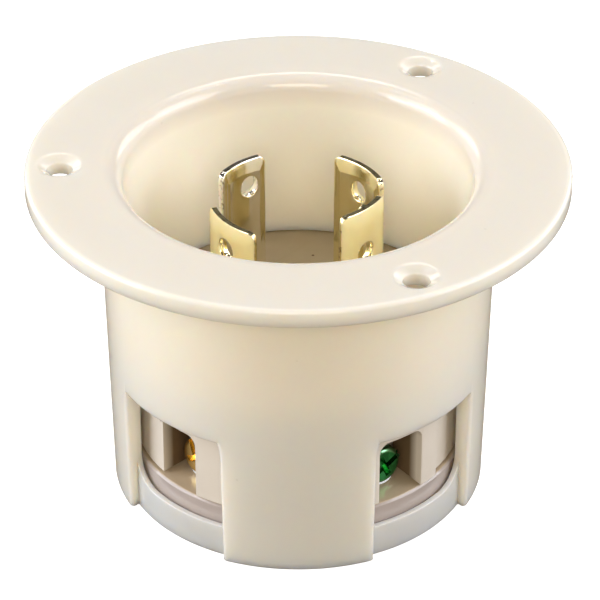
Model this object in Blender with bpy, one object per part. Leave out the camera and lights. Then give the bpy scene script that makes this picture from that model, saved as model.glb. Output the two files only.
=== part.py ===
"""Flanged 30 A locking power inlet: a round-flanged nylon housing with four male blades in a cup,
grey contact carrier, clear rear cover and four screw-and-clamp terminals seen through side windows.
Units are metres, +Z is up, the leg ends stand on Z = 0 and the flange face is on top."""
import math

import bmesh
import bpy
from mathutils import Matrix, Vector

MM = 0.001

# ---- driving sizes (millimetres, degrees) -------------------------------------------------------
HEIGHT = 54.5                 # leg ends to flange face
FLANGE_R = 41.25              # 82.5 mm flange
FLANGE_T = 2.8
FLANGE_EDGE_R = 0.6           # rounding of the flange's upper rim
SCREW_CIRCLE_R = 36.0         # panel-screw circle, 72 mm across
SCREW_HOLE_AZ = (57.5, 180.5, 298.0)
SCREW_HOLE_R = 2.1
SCREW_SINK_R = 3.7            # countersink at the face
BARREL_TOP_R = 30.25          # under the flange
BARREL_FOOT_R = 29.05         # at the leg ends: moulding draft
MOUTH_FILLET = 2.5
CUP_MOUTH_R = 26.6
CUP_FLOOR_R = 24.8
CUP_FLOOR_Z = 27.6
BORE_R = 26.75                # behind the cup floor shoulder
WINDOW_AZ = (46.4, 133.6, 226.4, 313.6)
WINDOW_HALF = 9.75
WINDOW_TOP_Z = 22.0
HOOP_TOP_Z = 5.2
HOOP_R = 27.7
BOSS_R = 3.2                  # rear screw bosses inside the side legs
BOSS_CIRCLE_R = 23.4
BOSS_TOP_Z = 25.3
CARRIER_R = 26.45
CARRIER_RELIEF_R = 25.6       # beside the side legs
CARRIER_SPLIT_Z = 20.0
CARRIER_FOOT_Z = 8.2
CHAMBER_HALF = 4.0
CHAMBER_TOP_Z = 19.0
BLADE_R = 14.0                # outside radius of the blade circle
BLADE_T = 1.5
BLADE_TIP_CORNER = 1.2
DETENT_Z = 44.6
DETENT_R = 1.7
TERMINAL_SCREW_Z = 11.3
CLEAR = 0.3                   # assembly clearance between neighbouring parts

# name: blade start azimuth, blade end azimuth, terminal azimuth, blade tip height, detent azimuth
POLES = {
    "line_x": (192.5, 241.3, 225.0, 49.1, 218.0),
    "ground": (297.9, 340.0, 306.5, 52.0, 317.0),
    "line_y": (17.2, 64.5, 45.0, 49.1, 42.0),
    "neutral": (113.5, 153.5, 126.5, 49.1, 127.0),
}

# name: base colour, roughness, metallic, transmission
FINISHES = {
    "ivory_nylon": ((0.86, 0.80, 0.70), 0.35, 0.0, 0.0),
    "grey_thermoplastic": ((0.62, 0.60, 0.55), 0.45, 0.0, 0.0),
    "clear_polycarbonate": ((0.92, 0.90, 0.86), 0.08, 0.0, 0.9),
    "blade_brass": ((0.88, 0.66, 0.28), 0.22, 1.0, 0.0),
    "nickel_plate": ((0.80, 0.79, 0.76), 0.2, 1.0, 0.0),
    "brass_screw": ((0.80, 0.56, 0.18), 0.28, 1.0, 0.0),
    "green_screw": ((0.02, 0.30, 0.08), 0.3, 0.8, 0.0),
    "zinc_steel": ((0.66, 0.67, 0.68), 0.35, 1.0, 0.0),
}


# ---- scene and mesh helpers ----------------------------------------------------------------------
def clear_scene():
    for old in list(bpy.data.objects):
        bpy.data.objects.remove(old, do_unlink=True)


def material(name):
    """Principled material for one finish, made once and shared by every piece of that finish."""
    if name in bpy.data.materials:
        return bpy.data.materials[name]
    colour, rough, metal, trans = FINISHES[name]
    mat = bpy.data.materials.new(name)
    mat.use_nodes = True
    shader = mat.node_tree.nodes["Principled BSDF"]
    shader.inputs["Base Color"].default_value = (*colour, 1.0)
    shader.inputs["Roughness"].default_value = rough
    shader.inputs["Metallic"].default_value = metal
    shader.inputs["Transmission Weight"].default_value = trans
    return mat


def solid(name, verts, faces, finish="ivory_nylon"):
    """Object from millimetre vertices and faces, welded and with outward normals."""
    mesh = bpy.data.meshes.new(name)
    mesh.from_pydata([Vector(v) * MM for v in verts], [], faces)
    bm = bmesh.new()
    bm.from_mesh(mesh)
    bmesh.ops.remove_doubles(bm, verts=bm.verts, dist=1e-6)
    bmesh.ops.recalc_face_normals(bm, faces=bm.faces)
    bm.to_mesh(mesh)
    bm.free()
    obj = bpy.data.objects.new(name, mesh)
    bpy.context.scene.collection.objects.link(obj)
    mesh.materials.append(material(finish))
    return obj


def turned(name, profile, finish="ivory_nylon", segments=96):
    """Solid of revolution about Z from a closed (radius, z) outline; flat ends get one round face."""
    verts, faces, count = [], [], len(profile)
    for i in range(segments):
        a = 2 * math.pi * (i + 0.37) / segments
        verts += [(r * math.cos(a), r * math.sin(a), z) for r, z in profile]
    for k in range(count):
        m = (k + 1) % count
        (r0, z0), (r1, z1) = profile[k], profile[m]
        if r0 < 1e-9 and r1 < 1e-9:
            continue
        if min(r0, r1) < 1e-9 and abs(z0 - z1) < 1e-9:
            rim = m if r0 < 1e-9 else k
            faces.append([i * count + rim for i in range(segments)])
            continue
        for i in range(segments):
            j = (i + 1) % segments
            loop = [i * count + k, j * count + k, j * count + m, i * count + m]
            if r0 < 1e-9:
                loop.pop(1)
            elif r1 < 1e-9:
                loop.pop(2)
            faces.append(loop)
    return solid(name, verts, faces, finish)


def prism(name, outline, low, high, finish="ivory_nylon"):
    """Straight extrusion along Z of a plan outline."""
    n = len(outline)
    verts = [(x, y, low) for x, y in outline] + [(x, y, high) for x, y in outline]
    faces = [list(range(n - 1, -1, -1)), list(range(n, 2 * n))]
    faces += [[k, (k + 1) % n, n + (k + 1) % n, n + k] for k in range(n)]
    return solid(name, verts, faces, finish)


def along_radius(name, outline, near, far, azimuth, finish="ivory_nylon"):
    """Extrusion of a (sideways, z) outline outward along the azimuth, from radius near to far."""
    n = len(outline)
    verts = [(near, s, z) for s, z in outline] + [(far, s, z) for s, z in outline]
    faces = [list(range(n - 1, -1, -1)), list(range(n, 2 * n))]
    faces += [[k, (k + 1) % n, n + (k + 1) % n, n + k] for k in range(n)]
    return turn_to(solid(name, verts, faces, finish), azimuth)


def across_radius(name, outline, half, azimuth, finish="ivory_nylon"):
    """Sideways extrusion of a (radius, z) outline, centred on the azimuth."""
    n = len(outline)
    verts = [(u, -half, z) for u, z in outline] + [(u, half, z) for u, z in outline]
    faces = [list(range(n - 1, -1, -1)), list(range(n, 2 * n))]
    faces += [[k, (k + 1) % n, n + (k + 1) % n, n + k] for k in range(n)]
    return turn_to(solid(name, verts, faces, finish), azimuth)


def turn_to(obj, azimuth):
    obj.data.transform(Matrix.Rotation(math.radians(azimuth), 4, "Z"))
    return obj


def place(obj, radius, azimuth, height=0.0, lying=False):
    """Stand a piece at a radius, azimuth and height; lying points its +Z axis outward."""
    a = math.radians(azimuth)
    obj.location = (radius * math.cos(a) * MM, radius * math.sin(a) * MM, height * MM)
    obj.rotation_euler = (0.0, math.radians(90) if lying else 0.0, a)
    return obj


def copy_of(master, name, finish):
    """Another object of the same shape with its own finish."""
    mesh = master.data.copy()
    mesh.materials.clear()
    mesh.materials.append(material(finish))
    obj = bpy.data.objects.new(name, mesh)
    bpy.context.scene.collection.objects.link(obj)
    return obj


def finish_shading():
    """Smooth the turned surfaces and keep real corners crisp."""
    for obj in bpy.data.objects:
        obj.data.shade_smooth()
        obj.data.set_sharp_from_angle(angle=math.radians(32))


def combine(obj, tools, operation):
    """Boolean the tool solids with obj one after another and keep only obj."""
    for tool in tools:
        step = obj.modifiers.new("step", "BOOLEAN")
        step.operation, step.solver, step.object = operation, "EXACT", tool
        graph = bpy.context.evaluated_depsgraph_get()
        shape = bpy.data.meshes.new_from_object(obj.evaluated_get(graph))
        obj.modifiers.clear()
        obj.data = shape
        bpy.data.objects.remove(tool, do_unlink=True)
    return obj


def arc(centre, radius, start, end, steps):
    """Points of a circular arc, angles in degrees."""
    angles = [math.radians(start + (end - start) * k / steps) for k in range(steps + 1)]
    return [(centre[0] + radius * math.cos(a), centre[1] + radius * math.sin(a)) for a in angles]


def rounded_box(half, low, high, top_r, bottom_r=0.0, steps=6):
    """(sideways, z) outline of an upright box with rounded upper and optionally lower corners."""
    pts = arc((half - top_r, high - top_r), top_r, 0, 90, steps)
    pts += arc((-half + top_r, high - top_r), top_r, 90, 180, steps)
    if bottom_r:
        pts += arc((-half + bottom_r, low + bottom_r), bottom_r, 180, 270, steps)
        pts += arc((half - bottom_r, low + bottom_r), bottom_r, 270, 360, steps)
        return pts
    return pts + [(-half, low), (half, low)]


def ring_sector(inner, outer, start, end, steps):
    return arc((0, 0), outer, start, end, steps) + arc((0, 0), inner, end, start, steps)


def barrel_radius(z):
    share = z / (HEIGHT - FLANGE_T)
    return BARREL_FOOT_R + (BARREL_TOP_R - BARREL_FOOT_R) * share


# ---- housing -------------------------------------------------------------------------------------
def housing_profile():
    under = HEIGHT - FLANGE_T
    rim = arc((FLANGE_R - FLANGE_EDGE_R, HEIGHT - FLANGE_EDGE_R), FLANGE_EDGE_R, 90, 0, 3)
    lower_rim = arc((FLANGE_R - 0.3, under + 0.3), 0.3, 0, -90, 2)
    neck = arc((barrel_radius(under - 0.8) + 0.8, under - 0.8), 0.8, 90, 180, 3)
    mouth = arc((CUP_MOUTH_R + MOUTH_FILLET, HEIGHT - MOUTH_FILLET), MOUTH_FILLET, 180, 90, 6)
    return (rim + lower_rim + neck + [(BARREL_FOOT_R, 0.0), (BORE_R, 0.0), (BORE_R, CUP_FLOOR_Z),
            (CUP_FLOOR_R, CUP_FLOOR_Z)] + mouth)


def between_legs(azimuth):
    """Plan shape taken off the barrel between two legs, leaving the thin skin of the hoop."""
    edge = barrel_radius(10.0)
    inside = math.degrees(math.asin(WINDOW_HALF / HOOP_R))
    side_u = math.sqrt(edge ** 2 - WINDOW_HALF ** 2)
    left = [(side_u - 0.5, WINDOW_HALF), (side_u - 0.1, WINDOW_HALF + 0.15),
            (side_u + 0.2, WINDOW_HALF + 0.55), (36.0, WINDOW_HALF + 0.9)]
    right = [(u, -v) for u, v in reversed(left)]
    plan = arc((0, 0), HOOP_R, -inside, inside, 12) + left + right
    return turn_to(prism("relief", plan, -1.0, WINDOW_TOP_Z), azimuth)


def window_outline(side):
    """Window seen from outside; the foot corner beside the side leg has a long fillet."""
    half, top = WINDOW_HALF - 0.04, WINDOW_TOP_Z - 0.04
    long_side = [(half - 5.2 * (1 - math.sin(a)), HOOP_TOP_Z + 4.0 * (1 - math.cos(a)))
                 for a in [math.radians(90 * k / 8) for k in range(9)]]
    pts = [(-half, top), (-half, HOOP_TOP_Z)] + long_side + [(half, top)]
    return [(side * s, z) for s, z in pts]


def make_housing():
    housing = turned("flange_housing", housing_profile(), "ivory_nylon", 80)
    bosses = [turned("boss", [(0, CARRIER_FOOT_Z + CLEAR), (BOSS_R, CARRIER_FOOT_Z + CLEAR),
                              (BOSS_R, BOSS_TOP_Z), (0, BOSS_TOP_Z)], segments=28)
              for _ in range(2)]
    for boss, side in zip(bosses, (1, -1)):
        boss.location.x = side * BOSS_CIRCLE_R * MM
        web = prism("web", [(side * BOSS_CIRCLE_R, -2.9), (side * (BORE_R + 0.8), -2.9),
                            (side * (BORE_R + 0.8), 2.9), (side * BOSS_CIRCLE_R, 2.9)],
                    CARRIER_FOOT_Z + CLEAR + 0.4, BOSS_TOP_Z - 0.4)
        combine(boss, [web], "UNION")
    combine(housing, bosses, "UNION")
    pilots = []
    for side in (1, -1):
        pilot = turned("pilot", [(0, 5.0), (1.65, 5.0), (1.65, 23.5), (0, 24.4)], segments=20)
        pilot.location.x = side * BOSS_CIRCLE_R * MM
        pilots.append(pilot)
    combine(housing, pilots, "DIFFERENCE")
    for azimuth in WINDOW_AZ:
        beside_leg = 1 if math.sin(math.radians(azimuth)) * math.cos(math.radians(azimuth)) < 0 else -1
        opening = along_radius("opening", window_outline(beside_leg), 22.0, 29.0, azimuth)
        combine(housing, [between_legs(azimuth), opening], "DIFFERENCE")
    for azimuth in SCREW_HOLE_AZ:
        depth = SCREW_SINK_R - SCREW_HOLE_R
        hole = turned("hole", [(0, 50.0), (SCREW_HOLE_R, 50.0), (SCREW_HOLE_R, HEIGHT - depth),
                               (SCREW_SINK_R, HEIGHT), (SCREW_SINK_R, 56.0), (0, 56.0)], segments=28)
        combine(housing, [place(hole, SCREW_CIRCLE_R, azimuth)], "DIFFERENCE")
    return housing


# ---- contact carrier -------------------------------------------------------------------------------
def carrier_plan():
    """Round plan with the relief beside both side legs and the notches that clear the bosses."""
    pts = []
    notch_r, edge = BOSS_R + CLEAR, 36.5
    mouth = math.degrees(math.asin(notch_r / CARRIER_RELIEF_R))
    for half_turn in (0.0, 180.0):
        turn = math.radians(half_turn)
        side = arc((0, 0), CARRIER_RELIEF_R, mouth, edge, 6)
        side += arc((0, 0), CARRIER_R, edge + 0.3, 180.0 - edge - 0.3, 30)
        side += arc((0, 0), CARRIER_RELIEF_R, 180.0 - edge, 180.0 - mouth, 6)
        side += arc((-BOSS_CIRCLE_R, 0), notch_r, 90, -90, 12)
        pts += [(x * math.cos(turn) - y * math.sin(turn), x * math.sin(turn) + y * math.cos(turn))
                for x, y in side]
    return pts


def make_front_carrier():
    body = prism("front_carrier", carrier_plan(), CARRIER_SPLIT_Z + 0.15, BOSS_TOP_Z + 0.9,
                 "grey_thermoplastic")
    face = turned("face", [(0, BOSS_TOP_Z + CLEAR), (CARRIER_R, BOSS_TOP_Z + CLEAR),
                           (CARRIER_R, CUP_FLOOR_Z - 0.15), (0, CUP_FLOOR_Z - 0.15)], segments=80)
    combine(body, [face], "UNION")
    slots = []
    for start, end, _, _, _ in POLES.values():
        gap = math.degrees(CLEAR / BLADE_R)
        plan = ring_sector(BLADE_R - BLADE_T - CLEAR, BLADE_R + CLEAR, start - gap, end + gap, 14)
        slots.append(prism("slot", plan, 10.0, 40.0))
    slots.append(hook_slot())
    return combine(body, slots, "DIFFERENCE")


def hook_box(grow, low, high):
    """Inward fold at the clockwise end of the ground blade, optionally grown for its slot."""
    end = POLES["ground"][1]
    depth, thick = 2.6, BLADE_T
    outline = [(-thick - grow, low), (grow, low), (grow, high), (-thick - grow, high)]
    return along_radius("hook", outline, BLADE_R - BLADE_T - depth - grow, BLADE_R - 0.4, end)


def hook_slot():
    return hook_box(CLEAR, 10.0, 40.0)


def make_rear_carrier():
    body = prism("rear_carrier", carrier_plan(), CARRIER_FOOT_Z + 0.15, CARRIER_SPLIT_Z - 0.15,
                 "grey_thermoplastic")
    rooms = []
    for _, _, terminal, _, _ in POLES.values():
        room = rounded_box(CHAMBER_HALF, 6.0, CHAMBER_TOP_Z, 1.7)
        rooms.append(along_radius("room", room, 11.8, 30.0, terminal))
        rooms.append(along_radius("throat", rounded_box(3.8, 14.3, 22.0, 0.5), 11.7, 14.7, terminal))
    return combine(body, rooms, "DIFFERENCE")


# ---- rear cover --------------------------------------------------------------------------------------
def make_rear_cover():
    plate_low, skirt_low = 5.9, 1.6
    profile = [(0, CARRIER_FOOT_Z - 0.15), (25.9, CARRIER_FOOT_Z - 0.15), (26.3, 7.7), (26.3, skirt_low),
               (24.9, skirt_low), (24.9, plate_low), (0, plate_low)]
    cover = turned("rear_cover", profile, "clear_polycarbonate", 72)
    cuts = []
    for _, _, terminal, _, _ in POLES.values():
        funnel = turned("funnel", [(0, 4.0), (4.3, 4.0), (4.3, plate_low), (3.3, 7.2), (3.3, 10.0),
                                   (0, 10.0)], segments=24)
        cuts.append(place(funnel, 18.6, terminal))
    for side in (1, -1):
        hole = turned("hole", [(0, 3.0), (1.95, 3.0), (1.95, 10.0), (0, 10.0)], segments=24)
        hole.location.x = side * BOSS_CIRCLE_R * MM
        relief = turned("relief", [(0, 0.0), (3.45, 0.0), (3.45, plate_low), (0, plate_low)],
                        segments=28)
        relief.location.x = side * BOSS_CIRCLE_R * MM
        cuts += [hole, relief]
    return combine(cover, cuts, "DIFFERENCE")


# ---- contacts ------------------------------------------------------------------------------------------
def blade_outline(start, end, terminal, tip):
    """Front view of one blade: wide working part with rounded tip, narrow tang to the terminal."""
    middle = 0.5 * (start + end)
    half = BLADE_R * math.sin(math.radians(0.5 * (end - start)))
    lean = BLADE_R * math.sin(math.radians(terminal - middle))
    foot = CARRIER_SPLIT_Z + 0.45
    top = rounded_box(half, foot, tip, BLADE_TIP_CORNER)
    return top[:-1] + [(lean - 3.3, foot), (lean - 3.3, 14.9), (lean + 3.3, 14.9),
                       (lean + 3.3, foot), top[-1]]


def make_blade(pole, finish):
    start, end, terminal, tip, detent = POLES[pole]
    middle = 0.5 * (start + end)
    plan = ring_sector(BLADE_R - BLADE_T, BLADE_R, start, end, 16)
    blade = prism("blade_" + pole, plan, 12.0, tip + 1.0, finish)
    outline = blade_outline(start, end, terminal, tip)
    combine(blade, [along_radius("shape", outline, 9.0, 18.0, middle)], "INTERSECT")
    if pole == "ground":
        combine(blade, [hook_box(0.0, CARRIER_SPLIT_Z + 0.45, tip - 2.3)], "UNION")
    detent_hole = turned("detent", [(0, -3.0), (DETENT_R, -3.0), (DETENT_R, 3.0), (0, 3.0)],
                         segments=24)
    place(detent_hole, BLADE_R, detent, DETENT_Z, lying=True)
    return combine(blade, [detent_hole], "DIFFERENCE")


def make_terminal(pole, finish):
    """Angle bracket: flat leg against the blade tang, hanging leg tapped for the terminal screw."""
    terminal = POLES[pole][2]
    bend = arc((16.5, 17.1), 1.2, 90, 0, 5)
    side = [(14.3, 16.8), (14.3, 18.3)] + bend + [(17.7, 9.2), (17.4, 8.9), (16.2, 8.9), (16.2, 16.8)]
    hanging = across_radius("terminal_" + pole, side, 3.3, terminal, finish)
    tapped = turned("tapped", [(0, -3.0), (2.2, -3.0), (2.2, 3.0), (0, 3.0)], segments=20)
    place(tapped, 17.0, terminal, TERMINAL_SCREW_Z, lying=True)
    return combine(hanging, [tapped], "DIFFERENCE")


def make_clamp():
    """Pressure plate under the screw head; its origin is on the screw axis, at the plate."""
    side = [(-0.7, -2.6), (0.7, -2.6), (0.7, 2.8), (1.8, 3.4), (1.8, 4.6), (1.3, 4.6),
            (0.1, 3.9), (-0.7, 3.9)]
    plate = across_radius("clamp", side, 3.6, 0.0, "zinc_steel")
    bore = turned("bore", [(0, -3.0), (2.3, -3.0), (2.3, 3.0), (0, 3.0)], segments=20)
    return combine(plate, [place(bore, 0.0, 0.0, lying=True)], "DIFFERENCE")


def turned_screw(name, head_r, head_h, shank_r, length, finish):
    """Pan-head screw about +Z with its origin under the head and the shank below it."""
    profile = [(0, -length), (shank_r - 0.5, -length), (shank_r, -length + 0.8), (shank_r, 0),
               (head_r, 0), (head_r, head_h - 0.7), (head_r - 0.25, head_h - 0.25),
               (head_r - 0.8, head_h), (0, head_h)]
    return turned(name, profile, finish, 24)


def recess(width, reach, low, high):
    """Cross of two driver slots about +Z, one longer than the other."""
    bars = []
    for dx, dy in ((reach, width / 2), (width / 2, reach * 0.62)):
        bars.append(prism("bar", [(-dx, -dy), (dx, -dy), (dx, dy), (-dx, dy)], low, high))
    return bars


def make_terminal_screw():
    """Combination-head terminal screw, its long slot turned off the vertical."""
    screw = turned_screw("screw", 3.15, 2.2, 1.95, 6.8, "brass_screw")
    combine(screw, recess(0.95, 4.0, 1.0, 3.0), "DIFFERENCE")
    screw.data.transform(Matrix.Rotation(math.radians(24), 4, "Z"))
    return screw


def make_rear_screw():
    """Assembly screw driven from the back through the clear cover into the housing boss."""
    screw = turned_screw("rear_screw", 3.0, 2.2, 1.4, 16.4, "zinc_steel")
    return combine(screw, recess(0.9, 2.0, 1.3, 3.0), "DIFFERENCE")


# ---- assembly --------------------------------------------------------------------------------------------
clear_scene()
make_housing()
make_front_carrier()
make_rear_carrier()
make_rear_cover()
clamp_shape, screw_shape, rear_shape = make_clamp(), make_terminal_screw(), make_rear_screw()
for pole_name, (_, _, terminal_az, _, _) in POLES.items():
    metal = "nickel_plate" if pole_name == "neutral" else "blade_brass"
    head = {"neutral": "nickel_plate", "ground": "green_screw"}.get(pole_name, "brass_screw")
    make_blade(pole_name, metal)
    make_terminal(pole_name, metal)
    place(copy_of(clamp_shape, "clamp_" + pole_name, "zinc_steel"), 18.8, terminal_az,
          TERMINAL_SCREW_Z)
    place(copy_of(screw_shape, "screw_" + pole_name, head), 20.1, terminal_az,
          TERMINAL_SCREW_Z, lying=True)
for screw_name, azimuth in (("rear_screw_right", 0.0), ("rear_screw_left", 180.0)):
    placed = place(copy_of(rear_shape, screw_name, "zinc_steel"), BOSS_CIRCLE_R, azimuth, 5.6)
    placed.rotation_euler.x = math.pi
for shape in (clamp_shape, screw_shape, rear_shape):
    bpy.data.objects.remove(shape, do_unlink=True)
finish_shading()
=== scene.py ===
import math

import bmesh
import bpy
import numpy as np
from mathutils import Matrix, Vector


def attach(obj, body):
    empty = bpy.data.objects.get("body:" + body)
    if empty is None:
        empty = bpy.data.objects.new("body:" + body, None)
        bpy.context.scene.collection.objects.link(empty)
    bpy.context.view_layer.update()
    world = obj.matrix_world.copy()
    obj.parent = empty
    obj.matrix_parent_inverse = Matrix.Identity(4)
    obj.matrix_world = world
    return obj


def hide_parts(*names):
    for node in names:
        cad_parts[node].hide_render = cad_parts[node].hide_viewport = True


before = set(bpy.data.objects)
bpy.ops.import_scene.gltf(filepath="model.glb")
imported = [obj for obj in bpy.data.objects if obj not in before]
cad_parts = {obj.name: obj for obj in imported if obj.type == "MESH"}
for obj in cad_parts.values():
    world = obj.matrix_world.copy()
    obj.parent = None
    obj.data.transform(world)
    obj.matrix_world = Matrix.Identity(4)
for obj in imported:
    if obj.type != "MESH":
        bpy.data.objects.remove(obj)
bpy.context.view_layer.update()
MM = 0.001


# ---- flanged housing -----------------------------------------------------------------------------
# The body of the inlet: a round flange, a deep cup and a skirt of four legs joined by thin hoops.
# It is one injection moulding in ivory nylon, satin outside, and light soaks a little way into it.
FLANGE_FACE_Z, FLANGE_UNDER_Z = 54.5, 51.7
FLANGE_R, RIM_R, LOWER_RIM_R = 41.25, 0.6, 0.3
NECK_R = 0.8
CUP_MOUTH_R, CUP_FLOOR_R, CUP_FLOOR_Z, MOUTH_R = 26.6, 24.8, 27.6, 2.5
BORE_R, HOOP_R = 26.75, 27.7
BARREL_TOP_R, BARREL_FOOT_R = 30.25, 29.05
WINDOW_AZ = np.array([46.4, 133.6, 226.4, 313.6])
WINDOW_HALF, WINDOW_TOP_Z = 9.75, 22.0
HOOP_TOP_Z, HOOP_FILLET_WIDE, HOOP_FILLET_HIGH = 5.2, 5.2, 4.0
LEG_CORNER_R, LEG_MIDDLE_R, LEG_EDGE = 0.9, 29.2, 9.9
PANEL_HOLE_AZ, PANEL_HOLE_AT, PANEL_HOLE_R = (57.5, 180.5, 298.0), 36.0, 2.0
SINK_R, SINK_DEEP, SOFT_EDGE = 3.35, .85, .12
BLOCK_ROWS, BLOCK_HALF_ANGLE = np.linspace(31.9, 40.1, 8), 6.9
BLOCK_TOP_RING_R, BLOCK_UNDER_RING_R = 3.92, 2.9
WELD, HOUSING_SOFT = 2e-6, .16


def arc(centre, radius, start, end, steps):
    """Points centre + radius * (cos a, sin a) for evenly spaced angles a in degrees."""
    a = np.radians(np.linspace(start, end, steps + 1))
    return np.column_stack((centre[0] + radius * np.cos(a), centre[1] + radius * np.sin(a)))


def grid_quads(index):
    """Quads between neighbours of a 2-D array of vertex numbers whose first axis wraps round."""
    nxt = np.roll(index, -1, axis=0)
    return np.stack((index[:, :-1], nxt[:, :-1], nxt[:, 1:], index[:, 1:]), -1).reshape(-1, 4)


def piece(name, points, quads, material, sharp=35.0, extra_faces=(), mask=None):
    """Mesh object from millimetre points and faces: doubled points are welded, faces that
    collapsed are dropped, normals are turned outwards and corners above the angle are sharp.
    The mask, one number per point, is kept on the mesh as its edge attribute."""
    mesh = bpy.data.meshes.new(name)
    faces = quads.tolist() + [f.tolist() for f in extra_faces]
    mesh.from_pydata((np.asarray(points, float) * MM).tolist(), [], faces)
    if mask is not None:
        layer = mesh.attributes.new("edge", "FLOAT", "POINT")
        layer.data.foreach_set("value", np.asarray(mask, np.float32))
    bm = bmesh.new()
    bm.from_mesh(mesh)
    bmesh.ops.remove_doubles(bm, verts=bm.verts, dist=WELD)
    bmesh.ops.dissolve_degenerate(bm, edges=bm.edges, dist=1e-6)
    bmesh.ops.recalc_face_normals(bm, faces=bm.faces)
    bm.to_mesh(mesh)
    bm.free()
    mesh.shade_smooth()
    mesh.set_sharp_from_angle(angle=math.radians(sharp))
    obj = bpy.data.objects.new(name, mesh)
    bpy.context.scene.collection.objects.link(obj)
    mesh.materials.append(material)
    return obj


def soften(obj, width, angle=38.0):
    """Rounds the corners that are sharper than the angle, as a mould or a press leaves them."""
    edge = obj.modifiers.new("soft corners", "BEVEL")
    edge.width, edge.segments = width * MM, 2
    edge.limit_method, edge.angle_limit = "ANGLE", math.radians(angle)
    edge.use_clamp_overlap = False
    edge.harden_normals = True
    edge.miter_outer = "MITER_ARC"


def housing_stations():
    """Columns round the skirt. A window column keeps a sideways distance from its window's centre
    line; a leg column is a share of the way between two windows. Returned as start azimuth and
    sideways distance, end azimuth and sideways distance, share, distance from the leg's edge
    (negative in a window), window number, and signed place across the window."""
    near = np.array([0, .22, .5, .9, 1.4, 2.1, 3.0, 4.1, 5.2, 6.4, 7.6, 8.7])
    rows = []
    for w, azimuth in enumerate(WINDOW_AZ):
        beside_side_leg = -1 if w in (0, 2) else 1
        v = np.concatenate((-WINDOW_HALF + near, [0.0], (WINDOW_HALF - near)[::-1]))
        for value in v:
            rows.append((azimuth, value, azimuth, value, 0.0, -1.0, w, value * beside_side_leg))
        after = WINDOW_AZ[(w + 1) % 4] + (360 if w == 3 else 0)
        width = (after - azimuth) * math.pi / 180 * LEG_MIDDLE_R - 2 * LEG_EDGE
        cell = np.array([.06, .16, .32, .55, .85, 1.3, 2.0, 3.0])
        middle = np.linspace(4.1, width - 4.1, 16)
        d = np.concatenate((cell, middle, width - cell[::-1]))
        for value in d:
            rows.append((azimuth, WINDOW_HALF, after, -WINDOW_HALF, value / width,
                         min(value, width - value), w, 99.0))
    return np.array(rows)


STATIONS = housing_stations()


def station_azimuth(radius):
    """Azimuth in radians of every column at a radius: the window's centre azimuth plus the arc
    sine of sideways distance over radius, shared linearly across a leg."""
    reach = np.clip(radius, BORE_R, BARREL_TOP_R)
    a0, v0, a1, v1, share = (STATIONS[:, k].reshape((-1,) + (1,) * (reach.ndim - 1))
                             for k in range(5))
    start = np.radians(a0) + np.arcsin(v0 / reach)
    end = np.radians(a1) + np.arcsin(v1 / reach)
    return start * (1 - share) + end * share


def barrel_radius(z):
    return BARREL_FOOT_R + (BARREL_TOP_R - BARREL_FOOT_R) * z / FLANGE_UNDER_Z


def upper_profile():
    """Half section above the windows as radius and height: up the barrel, round the neck, out
    under the flange, over its rim, in to the cup mouth, down the cup and back down the bore."""
    neck_z = FLANGE_UNDER_Z - NECK_R
    neck_x = barrel_radius(neck_z) + NECK_R
    z = np.linspace(WINDOW_TOP_Z, neck_z, 16)[:-1]
    parts = [np.column_stack((barrel_radius(z), z)),
             arc((neck_x, neck_z), NECK_R, 180, 90, 6),
             np.column_stack((BLOCK_ROWS, np.full(8, FLANGE_UNDER_Z))),
             arc((FLANGE_R - LOWER_RIM_R, FLANGE_UNDER_Z + LOWER_RIM_R), LOWER_RIM_R, -90, 0, 4),
             arc((FLANGE_R - RIM_R, FLANGE_FACE_Z - RIM_R), RIM_R, 0, 90, 7),
             np.column_stack((BLOCK_ROWS[::-1], np.full(8, FLANGE_FACE_Z))),
             arc((CUP_MOUTH_R + MOUTH_R, FLANGE_FACE_Z - MOUTH_R), MOUTH_R, 90, 180, 14)]
    z = np.linspace(FLANGE_FACE_Z - MOUTH_R, CUP_FLOOR_Z, 14)[1:]
    share = (z - CUP_FLOOR_Z) / (FLANGE_FACE_Z - MOUTH_R - CUP_FLOOR_Z)
    parts.append(np.column_stack((CUP_FLOOR_R + (CUP_MOUTH_R - CUP_FLOOR_R) * share, z)))
    parts.append(np.array([(25.8, CUP_FLOOR_Z), (BORE_R, CUP_FLOOR_Z), (BORE_R, 25.0),
                           (BORE_R, WINDOW_TOP_Z)]))
    return np.concatenate(parts)


def hoop_top():
    """Height of the hoop's top edge per column. It is level, and sweeps up to the side leg in a
    long quarter ellipse; across a leg it runs straight from one side's value to the other's."""
    place = STATIONS[:, 7]
    inside = np.clip(1 - (WINDOW_HALF - place) / HOOP_FILLET_WIDE, 0, 1)
    top = HOOP_TOP_Z + HOOP_FILLET_HIGH * (1 - np.sqrt(1 - inside ** 2))
    leg = STATIONS[:, 5] >= 0
    low, high = HOOP_TOP_Z, HOOP_TOP_Z + HOOP_FILLET_HIGH
    side_leg = np.isin(STATIONS[:, 6], (1, 3))
    return np.where(leg, np.where(side_leg, high, low), top)


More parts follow.
